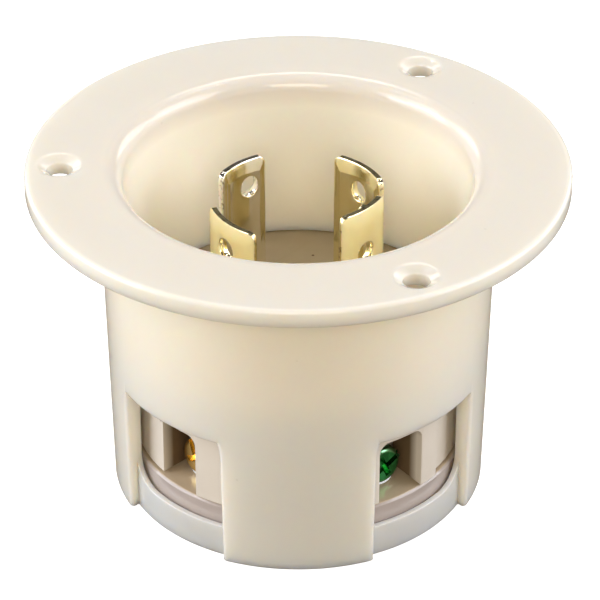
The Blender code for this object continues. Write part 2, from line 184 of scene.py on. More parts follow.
def skirt():
    """Legs and hoops as a block of cells round, through and up the wall; a face is made wherever
    a filled cell meets an empty one, so the skirt is closed."""
    count, rows = len(STATIONS), 9
    leg_cell = np.ones(count, bool)
    window = STATIONS[:, 5] < 0
    leg_cell[window & np.roll(window, -1)] = False
    top = hoop_top()
    share = np.concatenate(([0, .5, 1.0], np.linspace(0, 1, rows - 1)[1:]))
    z = np.empty((count, rows + 1))
    z[:, :3] = top[:, None] * share[:3]
    z[:, 3:] = top[:, None] + (WINDOW_TOP_Z - top)[:, None] * share[3:]
    d = np.clip(STATIONS[:, 5], 0, LEG_CORNER_R)
    recess = LEG_CORNER_R - np.sqrt(LEG_CORNER_R ** 2 - (LEG_CORNER_R - d) ** 2)
    edge = (window & (np.abs(np.abs(STATIONS[:, 1]) - WINDOW_HALF) < 1e-6))
    recess = np.where(edge, LEG_CORNER_R, np.where(window, 0.0, recess))
    fade = np.clip((WINDOW_TOP_Z - z) / 2.2, 0, 1)
    fade = fade * fade * (3 - 2 * fade)
    outer = barrel_radius(z) - recess[:, None] * fade
    radius = np.stack((np.full_like(z, BORE_R), np.full_like(z, HOOP_R), outer), 1)
    azimuth = station_azimuth(radius)
    points = np.stack((radius * np.cos(azimuth), radius * np.sin(azimuth),
                       np.repeat(z[:, None, :], 3, 1)), -1)
    index = np.arange(count * 3 * (rows + 1)).reshape(count, 3, rows + 1)
    filled = np.zeros((count, 2, rows), bool)
    filled[leg_cell] = True
    filled[~leg_cell, 0, :2] = True
    nxt = np.roll(index, -1, 0)
    faces = []
    for j in range(3):
        inner = filled[:, j - 1] if j > 0 else np.zeros((count, rows), bool)
        beyond = filled[:, j] if j < 2 else np.zeros((count, rows), bool)
        i, k = np.nonzero(inner != beyond)
        faces.append(np.column_stack((index[i, j, k], nxt[i, j, k], nxt[i, j, k + 1],
                                      index[i, j, k + 1])))
    for k in range(rows + 1):
        below = filled[:, :, k - 1] if k > 0 else np.zeros((count, 2), bool)
        above = filled[:, :, k] if k < rows else np.ones((count, 2), bool)
        i, j = np.nonzero(below != above)
        faces.append(np.column_stack((index[i, j, k], nxt[i, j, k], nxt[i, j + 1, k],
                                      index[i, j + 1, k])))
    i, j, k = np.nonzero(filled != np.roll(filled, 1, 0))
    faces.append(np.column_stack((index[i, j, k], index[i, j + 1, k], index[i, j + 1, k + 1],
                                  index[i, j, k + 1])))
    return points.reshape(-1, 3), np.concatenate(faces)


def upper_body():
    """The upper section swept round the columns, with a countersunk hole let into each of the
    three blocks of cells that lie across the flange."""
    profile = upper_profile()
    radius = np.repeat(profile[None, :, 0], len(STATIONS), 0)
    azimuth = station_azimuth(radius)
    points = np.stack((radius * np.cos(azimuth), radius * np.sin(azimuth),
                       np.repeat(profile[None, :, 1], len(STATIONS), 0)), -1)
    index = np.arange(points.shape[0] * points.shape[1]).reshape(points.shape[:2])
    under = np.nonzero(np.abs(profile[:, 1] - FLANGE_UNDER_Z) < 1e-9)[0]
    under = [m for m in under if np.min(np.abs(BLOCK_ROWS - profile[m, 0])) < 1e-9]
    over = np.nonzero(np.abs(profile[:, 1] - FLANGE_FACE_Z) < 1e-9)[0]
    over = [m for m in over if np.min(np.abs(BLOCK_ROWS - profile[m, 0])) < 1e-9][::-1]
    keep = np.ones((len(STATIONS), len(profile) - 1), bool)
    patch_points, patch_faces, start = [], [], index.size
    for hole in PANEL_HOLE_AZ:
        turn = np.angle(np.exp(1j * (azimuth[:, 30] - math.radians(hole))))
        inside = np.nonzero(np.abs(turn) < math.radians(BLOCK_HALF_ANGLE))[0]
        if inside.max() - inside.min() > len(STATIONS) / 2:
            inside = np.sort(np.where(inside < len(STATIONS) / 2, inside + len(STATIONS), inside))
        cols = np.arange(inside.min() - 1, inside.max() + 2) % len(STATIONS)
        keep[np.ix_(cols[:-1], range(min(under), max(under)))] = False
        keep[np.ix_(cols[:-1], range(min(over), max(over)))] = False
        rings = []
        for rows in (over, under):
            loop = np.concatenate((index[cols[:-1], rows[0]], index[cols[-1], rows[:-1]],
                                   index[cols[:0:-1], rows[-1]], index[cols[0], rows[:0:-1]]))
            rings.append(points.reshape(-1, 3)[loop])
        centre = np.array([PANEL_HOLE_AT * math.cos(math.radians(hole)),
                           PANEL_HOLE_AT * math.sin(math.radians(hole))])
        way = rings[0][:, :2] - centre
        way = way / np.linalg.norm(way, axis=1)[:, None]
        sink_z = FLANGE_FACE_Z - SINK_DEEP
        steps = [(BLOCK_TOP_RING_R, FLANGE_FACE_Z), (SINK_R + .02, FLANGE_FACE_Z),
                 (SINK_R - .14, FLANGE_FACE_Z - .1), (PANEL_HOLE_R + SOFT_EDGE, sink_z + .1),
                 (PANEL_HOLE_R, sink_z - .05), (PANEL_HOLE_R, FLANGE_UNDER_Z + SOFT_EDGE),
                 (PANEL_HOLE_R + SOFT_EDGE, FLANGE_UNDER_Z), (BLOCK_UNDER_RING_R, FLANGE_UNDER_Z)]
        levels = [rings[0]]
        levels += [np.column_stack((centre + way * r, np.full(len(way), z))) for r, z in steps]
        levels.append(rings[1])
        block = np.stack(levels, 1)
        number = np.arange(block.shape[0] * block.shape[1]).reshape(block.shape[:2]) + start
        start += number.size
        patch_points.append(block.reshape(-1, 3))
        patch_faces.append(grid_quads(number))
    nxt = np.roll(index, -1, 0)
    i, m = np.nonzero(keep)
    quads = np.column_stack((index[i, m], nxt[i, m], nxt[i, m + 1], index[i, m + 1]))
    return (np.concatenate([points.reshape(-1, 3)] + patch_points),
            np.concatenate([quads] + patch_faces))


def node(tree, kind, **settings):
    """Adds a shader node; settings that are none of its own go into the inputs so named."""
    made = tree.nodes.new(kind)
    for key, value in settings.items():
        if hasattr(made, key):
            setattr(made, key, value)
        else:
            made.inputs[key.replace("_", " ")].default_value = value
    return made


def new_finish(name):
    """Empty material with its Principled shader; returns the material, its tree and shader."""
    mat = bpy.data.materials.new(name)
    mat.use_nodes = True
    return mat, mat.node_tree, mat.node_tree.nodes["Principled BSDF"]


def group_of(name, inputs, outputs):
    """Shader node group with float or colour sockets; returns its tree, input and output nodes."""
    tree = bpy.data.node_groups.new(name, "ShaderNodeTree")
    for label, kind, value in inputs:
        socket = tree.interface.new_socket(name=label, in_out="INPUT", socket_type=kind)
        if value is not None:
            socket.default_value = value
    for label, kind in outputs:
        tree.interface.new_socket(name=label, in_out="OUTPUT", socket_type=kind)
    return tree, tree.nodes.new("NodeGroupInput"), tree.nodes.new("NodeGroupOutput")


def moulded_skin():
    """Group for moulded plastic: soft cloudy tone, fine satin grain, rare specks and hairline
    rubs, all from position. Puts out a colour, a roughness and a bump height."""
    floats = "NodeSocketFloat"
    tree, gin, gout = group_of(
        "moulded skin",
        [("Place", "NodeSocketVector", None), ("Colour", "NodeSocketColor", (.8, .8, .8, 1)),
         ("Shade", "NodeSocketColor", (.7, .7, .7, 1)), ("Gloss", floats, .3),
         ("Gloss Spread", floats, .06), ("Cloud Scale", floats, 60.0),
         ("Grain Scale", floats, 2600.0)],
        [("Colour", "NodeSocketColor"), ("Roughness", floats), ("Height", floats)])
    link = tree.links.new
    cloud = node(tree, "ShaderNodeTexNoise", Detail=4.0, Roughness=.55)
    grain = node(tree, "ShaderNodeTexNoise", Detail=3.0, Roughness=.6)
    rub = node(tree, "ShaderNodeTexNoise", Scale=260.0, Detail=5.0, Roughness=.6)
    speck = node(tree, "ShaderNodeTexVoronoi", Scale=330.0)
    stretch = node(tree, "ShaderNodeMapping")
    stretch.inputs["Scale"].default_value = (.8, .8, 1.2)
    link(gin.outputs["Place"], cloud.inputs["Vector"])
    link(gin.outputs["Place"], grain.inputs["Vector"])
    link(gin.outputs["Place"], stretch.inputs["Vector"])
    link(stretch.outputs["Vector"], rub.inputs["Vector"])
    link(gin.outputs["Place"], speck.inputs["Vector"])
    link(gin.outputs["Cloud Scale"], cloud.inputs["Scale"])
    link(gin.outputs["Grain Scale"], grain.inputs["Scale"])
    soft = node(tree, "ShaderNodeMapRange", From_Min=.3, From_Max=.7)
    link(cloud.outputs["Fac"], soft.inputs["Value"])
    tone = node(tree, "ShaderNodeMix", data_type="RGBA")
    link(soft.outputs["Result"], tone.inputs["Factor"])
    link(gin.outputs["Colour"], tone.inputs[6])
    link(gin.outputs["Shade"], tone.inputs[7])
    dot = node(tree, "ShaderNodeMapRange", From_Min=.05, From_Max=.09, To_Min=.16, To_Max=0.0)
    link(speck.outputs["Distance"], dot.inputs["Value"])
    dark = node(tree, "ShaderNodeMix", data_type="RGBA", blend_type="MULTIPLY")
    dark.inputs[7].default_value = (.55, .5, .42, 1)
    rare = node(tree, "ShaderNodeMath", operation="GREATER_THAN")
    rare.inputs[1].default_value = .93
    split = node(tree, "ShaderNodeSeparateColor")
    link(speck.outputs["Color"], split.inputs["Color"])
    link(split.outputs["Red"], rare.inputs[0])
    mask = node(tree, "ShaderNodeMath", operation="MULTIPLY")
    link(dot.outputs["Result"], mask.inputs[0])
    link(rare.outputs["Value"], mask.inputs[1])
    link(mask.outputs["Value"], dark.inputs["Factor"])
    link(tone.outputs[2], dark.inputs[6])
    link(dark.outputs[2], gout.inputs["Colour"])
    wear_and_shade = node(tree, "ShaderNodeMapRange", From_Min=.35, From_Max=.7, To_Min=-1.0, To_Max=1.0)
    link(rub.outputs["Fac"], wear_and_shade.inputs["Value"])
    gloss = node(tree, "ShaderNodeMath", operation="MULTIPLY_ADD")
    link(wear_and_shade.outputs["Result"], gloss.inputs[0])
    link(gin.outputs["Gloss Spread"], gloss.inputs[1])
    link(gin.outputs["Gloss"], gloss.inputs[2])
    link(gloss.outputs["Value"], gout.inputs["Roughness"])
    height = node(tree, "ShaderNodeMath", operation="MULTIPLY_ADD")
    link(cloud.outputs["Fac"], height.inputs[0])
    height.inputs[1].default_value = .1
    link(grain.outputs["Fac"], height.inputs[2])
    link(height.outputs["Value"], gout.inputs["Height"])
    return tree


SKIN = moulded_skin()


def moulded(name, colour, shade, gloss, spread, bump, cloud=60.0, grain=2600.0):
    """Moulded plastic finish built on the skin group."""
    mat, tree, shader = new_finish(name)
    place = node(tree, "ShaderNodeTexCoord")
    skin = tree.nodes.new("ShaderNodeGroup")
    skin.node_tree = SKIN
    tree.links.new(place.outputs["Object"], skin.inputs["Place"])
    skin.inputs["Colour"].default_value = (*colour, 1)
    skin.inputs["Shade"].default_value = (*shade, 1)
    skin.inputs["Gloss"].default_value = gloss
    skin.inputs["Gloss Spread"].default_value = spread
    skin.inputs["Cloud Scale"].default_value = cloud
    skin.inputs["Grain Scale"].default_value = grain
    relief = node(tree, "ShaderNodeBump", Strength=bump, Distance=.00006)
    tree.links.new(skin.outputs["Height"], relief.inputs["Height"])
    tree.links.new(relief.outputs["Normal"], shader.inputs["Normal"])
    tree.links.new(skin.outputs["Colour"], shader.inputs["Base Color"])
    tree.links.new(skin.outputs["Roughness"], shader.inputs["Roughness"])
    return mat, tree, shader, skin


def height_at(tree):
    """Height of the shaded point in metres."""
    place = node(tree, "ShaderNodeTexCoord")
    split = node(tree, "ShaderNodeSeparateXYZ")
    tree.links.new(place.outputs["Object"], split.inputs["Vector"])
    return split.outputs["Z"]


def reach_at(tree):
    """Distance of the shaded point from the upright axis in metres."""
    place = node(tree, "ShaderNodeTexCoord")
    flat = node(tree, "ShaderNodeVectorMath", operation="MULTIPLY")
    flat.inputs[1].default_value = (1, 1, 0)
    tree.links.new(place.outputs["Object"], flat.inputs[0])
    reach = node(tree, "ShaderNodeVectorMath", operation="LENGTH")
    tree.links.new(flat.outputs["Vector"], reach.inputs[0])
    return reach.outputs["Value"]


def graded(tree, value, start, end):
    """Share that runs from 0 at the start to 1 at the end, both in millimetres."""
    share = node(tree, "ShaderNodeMapRange", From_Min=start * MM, From_Max=end * MM)
    tree.links.new(value, share.inputs["Value"])
    return share.outputs["Result"]


IVORY, IVORY_SHADE = (.94, .89, .80), (.925, .875, .78)
# Heights over which the painted shade on the flange's face fades in.
SHADED_FACE_FROM_Z, SHADED_FACE_FULL_Z = 49.5, 52.5
ivory, tree, shader, skin = moulded("ivory nylon", IVORY, IVORY_SHADE, .20, .02, .03,
                                    cloud=40.0, grain=7000.0)
for socket, value in (("Subsurface Weight", .85), ("Subsurface Radius", (1.0, .80, .58)),
                      ("Subsurface Scale", .0055), ("IOR", 1.52), ("Coat Weight", .6),
                      ("Coat Roughness", .03), ("Specular IOR Level", .3)):
    shader.inputs[socket].default_value = value
# Painted shade: the flange's face is painted a little greyer, and the cup's rolled mouth a little
# more, to take down how bright the lamps make them.
high = graded(tree, height_at(tree), SHADED_FACE_FROM_Z, SHADED_FACE_FULL_Z)
reach = reach_at(tree)
tone = skin.outputs["Colour"]
# Each pass multiplies in a grey tint of painted shade inside the given radius, near the face.
for outer, inner, wear_and_shade in ((41.1, 40.3, (.84, .85, .87, 1)), (29.6, 28.0, (.93, .93, .945, 1))):
    where = node(tree, "ShaderNodeMath", operation="MULTIPLY")
    tree.links.new(high, where.inputs[0])
    tree.links.new(graded(tree, reach, outer, inner), where.inputs[1])
    face_shade = node(tree, "ShaderNodeMix", data_type="RGBA", blend_type="MULTIPLY")
    face_shade.inputs[7].default_value = wear_and_shade
    tree.links.new(where.outputs["Value"], face_shade.inputs["Factor"])
    tree.links.new(tone, face_shade.inputs[6])
    tone = face_shade.outputs[2]
tree.links.new(tone, shader.inputs["Base Color"])

BOSS_AT, BOSS_R, WEB_HALF, WEB_END, BOSS_FOOT_Z, BOSS_TOP_Z = 23.4, 3.2, 2.9, 27.3, 8.5, 25.3


def screw_boss(side):
    """Closed upright prism: a half circle about the screw with straight sides to the wall, drawn
    in a little at both ends. Side is 1 for the right-hand leg and -1 for the left-hand one."""
    plan = np.concatenate((arc((BOSS_AT, 0), BOSS_R, 90, 270, 24),
                           [(WEB_END, -WEB_HALF), (WEB_END, WEB_HALF)]))
    middle = np.array([BOSS_AT + 1, 0])
    ends = ((0, .9), (.1, .97), (.3, 1))        # distance from the end, and size there
    levels = [(BOSS_FOOT_Z + d, s) for d, s in ends] + [(BOSS_TOP_Z - d, s) for d, s in ends[::-1]]
    rings = [np.column_stack(((plan - middle) * s + middle, np.full(len(plan), z)))
             for z, s in levels]
    block = np.stack(rings, 1) * np.array([side, 1, 1])
    index = np.arange(block.shape[0] * block.shape[1]).reshape(block.shape[:2])
    return block.reshape(-1, 3), grid_quads(index), (index[:, 0], index[:, -1])


for side, name in ((1, "right"), (-1, "left")):
    points, quads, caps = screw_boss(side)
    boss = piece("screw_boss_" + name, points, quads, ivory, extra_faces=caps)
    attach(boss, "inlet")

lower_points, lower_faces = skirt()
upper_points, upper_faces = upper_body()
housing = piece("housing", np.concatenate((upper_points, lower_points)),
                np.concatenate((upper_faces, lower_faces + len(upper_points))), ivory)
soften(housing, HOUSING_SOFT)
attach(housing, "inlet")
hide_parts("flange_housing")


# ---- blades --------------------------------------------------------------------------------------
# Four locking contacts on a 28 mm circle, stamped from 1.5 mm strip, coined thinner along their
# edges, rolled to the circle and pierced for the connector's detents. Neutral is nickel plated.
BLADE_R, BLADE_T, BLADE_FOOT_Z, TANG_HALF, TANG_FOOT_Z = 14.0, 1.5, 20.45, 3.3, 14.9
TIP_CORNER_R, DETENT_Z, DETENT_R = 1.2, 44.6, 1.7
POLES = {                # start, end and terminal azimuth, tip height, detent azimuth
    "line_x": (192.5, 241.3, 225.0, 49.1, 218.0),
    "ground": (297.9, 340.0, 306.5, 52.0, 317.0),
    "line_y": (17.2, 64.5, 45.0, 49.1, 42.0),
    "neutral": (113.5, 153.5, 126.5, 49.1, 127.0),
}
COINING = np.array([(0, .36), (.05, .30), (.14, .25), (.55, .15), (.98, .04), (1.08, 0.0)])
LEAD_IN = 1.9            # height of the coining at the tip over its width at the sides
TANG_THINNER, TANG_LAP, TANG_CORNER_R = .1, .9, .15
FOLD_HALF, FOLD_SHORTER, FOLD_CORNER_R, FOLD_AT = 1.85, 2.3, .8, 11.75


def strip_outline(half, foot, tip, corner, inset):
    """Outline of an upright strip drawn in by the inset, the same number of points whatever the
    inset: up one side, round both top corners by quarter circles and down the other side."""
    r = max(corner - inset, .12)
    h, top = half - inset, tip - inset * LEAD_IN
    up = np.linspace(foot, top - r, 26)[:-1]
    across = np.linspace(h - r, -h + r, 12)[1:-1]
    base = np.linspace(-h, h, 10)[1:-1]
    return np.concatenate((np.column_stack((np.full(25, h), up)),
                           arc((h - r, top - r), r, 0, 90, 8),
                           np.column_stack((across, np.full(10, top))),
                           arc((-h + r, top - r), r, 90, 180, 8),
                           np.column_stack((np.full(25, -h), up[::-1])),
                           np.column_stack((base, np.full(8, foot)))))


def coined_strip(half, foot, tip, corner, thick, hole=None):
    """Both faces of a coined strip as rings from the edge inwards: the face drops towards the edge
    by the coining, then runs straight to the pierced hole or to a point. Returns sideways,
    height and thickness coordinates, an edge mask and the quads."""
    rings, edge = [], []
    for inset, drop in COINING:
        ring = strip_outline(half, foot, tip, corner, inset)
        rings.append(np.column_stack((ring, np.full(len(ring), thick / 2 - drop))))
        edge.append(1 - inset / COINING[-1, 0])
    inner = rings[-1][:, :2]
    centre = np.array(hole if hole is not None else (0.0, .5 * (foot + tip)))
    way = inner - centre
    way /= np.linalg.norm(way, axis=1)[:, None]
    rim = DETENT_R + .35 if hole is not None else .01
    for t in (.2, .4, .6, .8, 1.0):
        ring = inner * (1 - t) + (centre + way * rim) * t
        rings.append(np.column_stack((ring, np.full(len(ring), thick / 2))))
        edge.append(0.0 if t < 1 or hole is None else .5)
    if hole is not None:
        for r, drop in ((DETENT_R + .1, .04), (DETENT_R, .14)):
            rings.append(np.column_stack((centre + way * r, np.full(len(way), thick / 2 - drop))))
            edge.append(.8)
    top = np.stack(rings, 1)
    under = top * np.array([1, 1, -1])
    both = np.concatenate((top, under[:, ::-1]), 1)
    mask = np.repeat(np.array(edge + edge[::-1])[None], len(both), 0)
    index = np.arange(both.shape[0] * both.shape[1]).reshape(both.shape[:2])
    last, first = index[:, -1], index[:, 0]
    rim_quads = np.column_stack((last, np.roll(last, -1), np.roll(first, -1), first))
    return both.reshape(-1, 3), mask.ravel(), np.concatenate((grid_quads(index), rim_quads))


def rolled(flat, azimuth, radius, thick):
    """Rolls flat (sideways, height, thickness) points on to the blade circle: sideways distance
    over radius is the turn from the azimuth, thickness adds to the middle radius."""
    angle = math.radians(azimuth) + flat[:, 0] / radius
    r = radius - thick / 2 + flat[:, 2]
    return np.column_stack((r * np.cos(angle), r * np.sin(angle), flat[:, 1]))


def worked_metal():
    """Group for bright worked metal: cloudy tarnish, fine streaks along the rolling direction,
    small dark pits, edges rubbed brighter and torn specks where it was sheared. Puts out a
    colour, a roughness and a height."""
    floats = "NodeSocketFloat"
    tree, gin, gout = group_of(
        "worked metal",
        [("Place", "NodeSocketVector", None), ("Colour", "NodeSocketColor", (.8, .8, .8, 1)),
         ("Tarnish", "NodeSocketColor", (.5, .4, .2, 1)),
         ("Rubbed", "NodeSocketColor", (1, 1, 1, 1)),
         ("Edge", floats, 0.0), ("Gloss", floats, .18), ("Streaks", floats, .08),
         ("Cloud Scale", floats, 160.0)],
        [("Colour", "NodeSocketColor"), ("Roughness", floats), ("Height", floats)])
    link = tree.links.new
    cloud = node(tree, "ShaderNodeTexNoise", Detail=5.0, Roughness=.6)
    link(gin.outputs["Place"], cloud.inputs["Vector"])
    link(gin.outputs["Cloud Scale"], cloud.inputs["Scale"])
    stretch = node(tree, "ShaderNodeMapping")
    stretch.inputs["Scale"].default_value = (1, 1, .06)
    link(gin.outputs["Place"], stretch.inputs["Vector"])
    streak = node(tree, "ShaderNodeTexNoise", Scale=2400.0, Detail=3.0, Roughness=.55)
    link(stretch.outputs["Vector"], streak.inputs["Vector"])
    pits = node(tree, "ShaderNodeTexVoronoi", Scale=700.0)
    link(gin.outputs["Place"], pits.inputs["Vector"])
    mask = node(tree, "ShaderNodeMapRange", From_Min=.46, From_Max=.74, To_Max=.55)
    link(cloud.outputs["Fac"], mask.inputs["Value"])
    pit = node(tree, "ShaderNodeMapRange", From_Min=.05, From_Max=.12, To_Min=.35, To_Max=0.0)
    link(pits.outputs["Distance"], pit.inputs["Value"])
    dull = node(tree, "ShaderNodeMath", operation="MAXIMUM")
    link(mask.outputs["Result"], dull.inputs[0])
    link(pit.outputs["Result"], dull.inputs[1])
    tone = node(tree, "ShaderNodeMix", data_type="RGBA")
    link(dull.outputs["Value"], tone.inputs["Factor"])
    link(gin.outputs["Colour"], tone.inputs[6])
    link(gin.outputs["Tarnish"], tone.inputs[7])
    rub = node(tree, "ShaderNodeMath", operation="MULTIPLY")
    link(gin.outputs["Edge"], rub.inputs[0])
    link(cloud.outputs["Fac"], rub.inputs[1])
    bright = node(tree, "ShaderNodeMix", data_type="RGBA")
    link(rub.outputs["Value"], bright.inputs["Factor"])
    link(tone.outputs[2], bright.inputs[6])
    link(gin.outputs["Rubbed"], bright.inputs[7])
    speck = node(tree, "ShaderNodeTexNoise", Scale=1500.0, Detail=2.0, Roughness=.6)
    link(gin.outputs["Place"], speck.inputs["Vector"])
    chips = node(tree, "ShaderNodeMapRange", From_Min=.55, From_Max=.64, To_Max=.6)
    link(speck.outputs["Fac"], chips.inputs["Value"])
    sheared = node(tree, "ShaderNodeMapRange", From_Min=.96, From_Max=.99)
    link(gin.outputs["Edge"], sheared.inputs["Value"])
    torn = node(tree, "ShaderNodeMath", operation="MULTIPLY")
    link(chips.outputs["Result"], torn.inputs[0])
    link(sheared.outputs["Result"], torn.inputs[1])
    wear_and_shade = node(tree, "ShaderNodeMix", data_type="RGBA")
    link(torn.outputs["Value"], wear_and_shade.inputs["Factor"])
    link(bright.outputs[2], wear_and_shade.inputs[6])
    wear_and_shade.inputs[7].default_value = (.13, .065, .03, 1)
    link(wear_and_shade.outputs[2], gout.inputs["Colour"])
    lines = node(tree, "ShaderNodeMath", operation="MULTIPLY_ADD")
    link(streak.outputs["Fac"], lines.inputs[0])
    link(gin.outputs["Streaks"], lines.inputs[1])
    link(gin.outputs["Gloss"], lines.inputs[2])
    more = node(tree, "ShaderNodeMath", operation="MULTIPLY_ADD")
    link(dull.outputs["Value"], more.inputs[0])
    more.inputs[1].default_value = .16
    link(lines.outputs["Value"], more.inputs[2])
    link(more.outputs["Value"], gout.inputs["Roughness"])
    link(streak.outputs["Fac"], gout.inputs["Height"])
    return tree


WORKED = worked_metal()


def metal(name, colour, tarnish, rubbed, gloss, streaks):
    """Metal finish built on the worked metal group; the edge mask is the mesh's own attribute."""
    mat, tree, shader = new_finish(name)
    place = node(tree, "ShaderNodeTexCoord")
    edge = node(tree, "ShaderNodeAttribute", attribute_name="edge")
    work = tree.nodes.new("ShaderNodeGroup")
    work.node_tree = WORKED
    tree.links.new(place.outputs["Object"], work.inputs["Place"])
    tree.links.new(edge.outputs["Fac"], work.inputs["Edge"])
    for key, value in (("Colour", colour), ("Tarnish", tarnish), ("Rubbed", rubbed)):
        work.inputs[key].default_value = (*value, 1)
    work.inputs["Gloss"].default_value, work.inputs["Streaks"].default_value = gloss, streaks
    work.inputs["Cloud Scale"].default_value = 160.0
    relief = node(tree, "ShaderNodeBump", Strength=.05, Distance=.00003)
    tree.links.new(work.outputs["Height"], relief.inputs["Height"])
    tree.links.new(relief.outputs["Normal"], shader.inputs["Normal"])
    tree.links.new(work.outputs["Colour"], shader.inputs["Base Color"])
    tree.links.new(work.outputs["Roughness"], shader.inputs["Roughness"])
    shader.inputs["Metallic"].default_value = 1.0
    return mat


brass = metal("blade brass", (1.0, .91, .56), (.95, .80, .42), (1.0, .95, .70), .10, .10)
nickel = metal("nickel plate", (.97, .94, .86), (.90, .84, .68), (1.0, .99, .96), .08, .10)

for pole, (start, end, terminal, tip, detent) in POLES.items():
    middle = .5 * (start + end)
    half = BLADE_R * math.radians(end - start) / 2
    spot = (BLADE_R * math.radians(detent - middle), DETENT_Z)
    flat, mask, quads = coined_strip(half, BLADE_FOOT_Z, tip, TIP_CORNER_R, BLADE_T, spot)
    points = rolled(flat, middle, BLADE_R, BLADE_T)
    lean = BLADE_R * math.radians(terminal - middle)
    tang_t = BLADE_T - TANG_THINNER
    flat, low_mask, low_quads = coined_strip(TANG_HALF, TANG_FOOT_Z, BLADE_FOOT_Z + TANG_LAP,
                                             TANG_CORNER_R, tang_t)
    flat[:, 0] += lean
    quads = np.concatenate((quads, low_quads + len(points)))
    points = np.concatenate((points, rolled(flat, middle, BLADE_R - TANG_THINNER / 2, tang_t)))
    mask = np.concatenate((mask, low_mask))
    if pole == "ground":
        flat, fold_mask, fold_quads = coined_strip(FOLD_HALF, BLADE_FOOT_Z, tip - FOLD_SHORTER,
                                                   FOLD_CORNER_R, BLADE_T)
        turn = math.radians(end)
        along = FOLD_AT + flat[:, 0]
        across = flat[:, 2] - BLADE_T / 2
        fold = np.column_stack((along * math.cos(turn) - across * math.sin(turn),
                                along * math.sin(turn) + across * math.cos(turn), flat[:, 1]))
        quads = np.concatenate((quads, fold_quads + len(points)))
        points, mask = np.concatenate((points, fold)), np.concatenate((mask, fold_mask))
    name = "contact_blade_" + pole
    blade = piece(name, points, quads, nickel if pole == "neutral" else brass, 50, mask=mask)
    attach(blade, "inlet")
    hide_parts("blade_" + pole)


# ---- contact carrier -----------------------------------------------------------------------------
# Two grey thermoplastic discs that hold the blades: the front one is the floor of the cup, the
# rear one has four rooms for the terminals. Both are matt mouldings with slightly rounded corners.
CARRIER_SOFT = .12


def softened_copy(source, name, material):
    """Copy of a CAD node's mesh, welded, its flat faces joined, and its corners rounded."""
    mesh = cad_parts[source].data.copy()
    mesh.name = name
    bm = bmesh.new()
    bm.from_mesh(mesh)
    bmesh.ops.remove_doubles(bm, verts=bm.verts, dist=WELD)
    bmesh.ops.dissolve_limit(bm, angle_limit=math.radians(.6), verts=bm.verts, edges=bm.edges)
    bm.to_mesh(mesh)
    bm.free()
    mesh.materials.clear()
    mesh.materials.append(material)
    mesh.shade_smooth()
    mesh.set_sharp_from_angle(angle=math.radians(35))
    obj = bpy.data.objects.new(name, mesh)
    bpy.context.scene.collection.objects.link(obj)
    soften(obj, CARRIER_SOFT, angle=30.0)
    return obj


def blended(tree, shader, skin, share, colour):
    """Sets the shader's colour: the given one where the share is 0, the skin's where it is 1."""
    mix = node(tree, "ShaderNodeMix", data_type="RGBA")
    mix.inputs[6].default_value = (*colour, 1)
    tree.links.new(share, mix.inputs["Factor"])
    tree.links.new(skin.outputs["Colour"], mix.inputs[7])
    tree.links.new(mix.outputs[2], shader.inputs["Base Color"])


# Painted shade: deep in the terminal rooms, nearer the axis than their mouths, the grey is painted
# dark brown for the shade there, and the cup's floor has one small dark spot painted for the shade
# in a small pit.
ROOM_DEEP_R, ROOM_MOUTH_R = 23.5, 25.3
PIT_AT, PIT_R, PIT_EDGE_R = (2.33 * MM, 17.4 * MM, 27.45 * MM), .15, .26
grey, tree, shader, skin = moulded("grey carrier", (.76, .72, .66), (.72, .675, .61),
                                   .45, .05, .06, cloud=120.0)
# Painted shade: dark brown inside the rooms' deep radius, fading to the grey skin at their mouths.
blended(tree, shader, skin, graded(tree, reach_at(tree), ROOM_DEEP_R, ROOM_MOUTH_R),
        (.14, .09, .048))
cup_grey, tree, shader, skin = moulded("cup floor grey", (.52, .43, .28), (.47, .385, .24),
                                       .5, .05, .06, cloud=120.0)
place = node(tree, "ShaderNodeTexCoord")
away = node(tree, "ShaderNodeVectorMath", operation="DISTANCE")
away.inputs[1].default_value = PIT_AT
tree.links.new(place.outputs["Object"], away.inputs[0])
# Painted shade: a small near-black spot on the cup's floor stands in for the shade inside a pit.
blended(tree, shader, skin, graded(tree, away.outputs["Value"], PIT_R, PIT_EDGE_R),
        (.10, .045, .02))
for source, finish in (("front_carrier", cup_grey), ("rear_carrier", grey)):
    carrier = softened_copy(source, source.replace("_", "_disc_"), finish)
    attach(carrier, "inlet")
    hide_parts(source)


# ---- rear cover ----------------------------------------------------------------------------------
# Clear polycarbonate cap over the wire end, with a funnel to lead each wire in. It is moulded,
# glossy, a little lilac where it is thick, and seen as a light band through the windows.
PLATE_TOP_Z, PLATE_SIDE_Z = 8.02, 7.9
cover_clear, tree, shader, skin = moulded("clear polycarbonate", (.74, .67, .66),
                                          (.70, .63, .61), .10, .04, .03)
# Painted shade: the cover's top face, above its side, is painted warm tan for the warm shade seen
# through the clear plate at the floor of the terminal rooms.
blended(tree, shader, skin, graded(tree, height_at(tree), PLATE_TOP_Z, PLATE_SIDE_Z),
        (.80, .66, .48))
shader.inputs["Transmission Weight"].default_value = .38
shader.inputs["IOR"].default_value = 1.58
cover = softened_copy("rear_cover", "clear_cover", cover_clear)
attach(cover, "inlet")
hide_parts("rear_cover")


